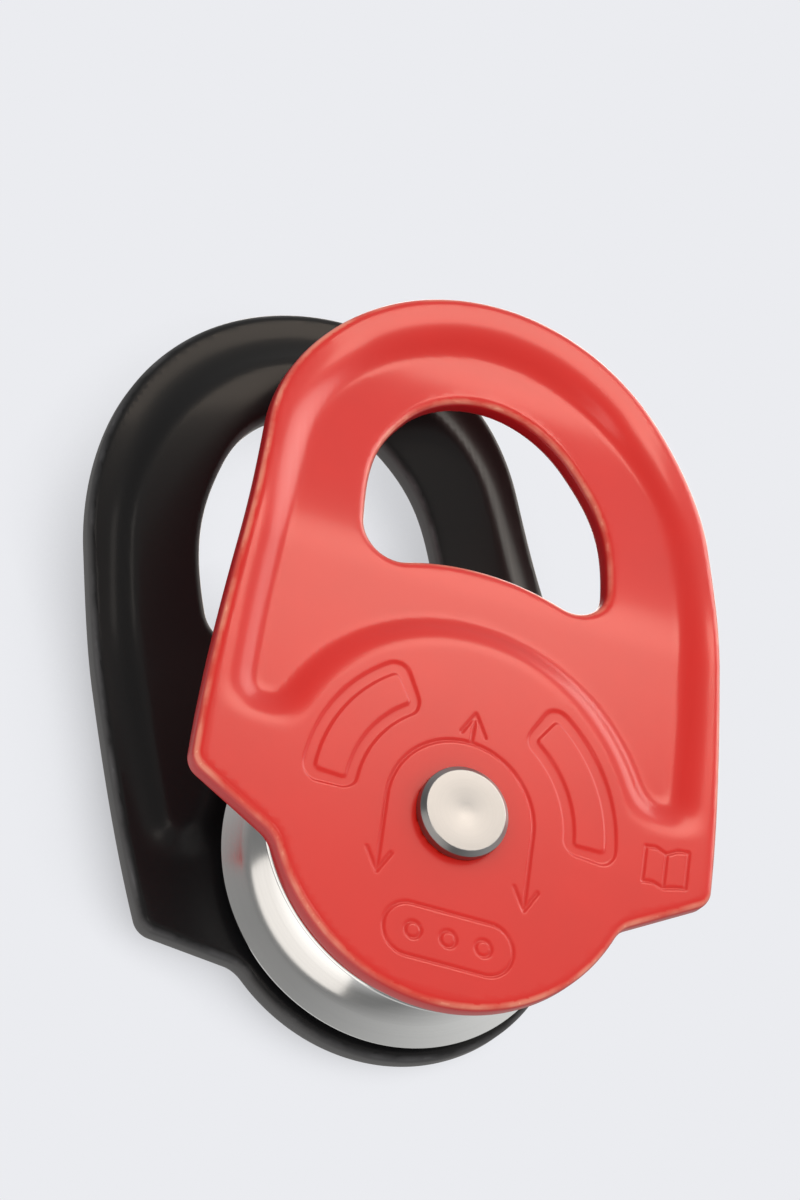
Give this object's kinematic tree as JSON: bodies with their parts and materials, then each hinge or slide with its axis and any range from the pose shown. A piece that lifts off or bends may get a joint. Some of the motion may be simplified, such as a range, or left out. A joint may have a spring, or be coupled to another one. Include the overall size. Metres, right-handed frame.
{
  "type": "rope pulley",
  "caption": "Swing-cheek rope pulley: two pressed side plates turn on one axle, with a grooved sheave on sealed ball bearings between them and a connector eye in each plate.",
  "frame": {"origin": "where a connector bears in the top of the front plate's eye, midway between the two plates", "axes": "+Z from the axle towards the eye of the front plate, +Y along the axle from the front plate to the rear plate, +X to the right seen from the front"},
  "size_m": [0.0893, 0.033, 0.1075],
  "materials": {
    "red_anodised": "satin red anodised, pressed sheet",
    "black_anodised": "satin black anodised, pressed sheet",
    "polished_aluminium": "turned and polished",
    "stainless_steel": "turned",
    "bearing_steel": "ground",
    "bronze_bush": "machined",
    "cage_nylon": "moulded",
    "seal_rubber": "moulded"
  },
  "bodies": {
    "front_side": {"front_side_plate": "red_anodised", "front_plate_bush": "bronze_bush"},
    "axle_set": {"axle_pin": "stainless_steel", "rear_rivet_head": "stainless_steel", "front_thrust_washer": "stainless_steel", "rear_thrust_washer": "stainless_steel", "bearing_spacer": "stainless_steel", "front_bearing_inner_ring": "bearing_steel", "rear_bearing_inner_ring": "bearing_steel"},
    "rear_side": {"rear_side_plate": "black_anodised", "rear_plate_bush": "bronze_bush"},
    "sheave_set": {"sheave": "polished_aluminium", "front_bearing_outer_ring": "bearing_steel", "front_bearing_outboard_seal": "seal_rubber", "front_bearing_inboard_seal": "seal_rubber", "rear_bearing_outer_ring": "bearing_steel", "rear_bearing_outboard_seal": "seal_rubber", "rear_bearing_inboard_seal": "seal_rubber"},
    "front_cage_set": {"front_bearing_cage": "cage_nylon", "front_bearing_ball_1": "bearing_steel", "front_bearing_ball_2": "bearing_steel", "front_bearing_ball_3": "bearing_steel", "front_bearing_ball_4": "bearing_steel", "front_bearing_ball_5": "bearing_steel", "front_bearing_ball_6": "bearing_steel", "front_bearing_ball_7": "bearing_steel"},
    "rear_cage_set": {"rear_bearing_cage": "cage_nylon", "rear_bearing_ball_1": "bearing_steel", "rear_bearing_ball_2": "bearing_steel", "rear_bearing_ball_3": "bearing_steel", "rear_bearing_ball_4": "bearing_steel", "rear_bearing_ball_5": "bearing_steel", "rear_bearing_ball_6": "bearing_steel", "rear_bearing_ball_7": "bearing_steel"}
  },
  "joints": [
    {"name": "front_plate_swing", "type": "hinge", "parent": "front_side", "child": "axle_set", "pos_m": [0, 0, -0.0654], "axis": [0, 1, 0], "continuous": true},
    {"name": "rear_plate_swing", "type": "hinge", "parent": "axle_set", "child": "rear_side", "pos_m": [0, 0, -0.0654], "axis": [0, 1, 0], "continuous": true},
    {"name": "sheave_spin", "type": "hinge", "parent": "axle_set", "child": "sheave_set", "pos_m": [0, 0, -0.0654], "axis": [0, 1, 0], "continuous": true},
    {"name": "front_cage_spin", "type": "hinge", "parent": "axle_set", "child": "front_cage_set", "pos_m": [0, 0, -0.0654], "axis": [0, 1, 0], "continuous": true},
    {"name": "rear_cage_spin", "type": "hinge", "parent": "axle_set", "child": "rear_cage_set", "pos_m": [0, 0, -0.0654], "axis": [0, 1, 0], "continuous": true}
  ],
  "couplings": [
    {"joint": "front_cage_spin", "follows": "sheave_spin", "ratio": 0.6322},
    {"joint": "rear_cage_spin", "follows": "sheave_spin", "ratio": 0.6322}
  ]
}
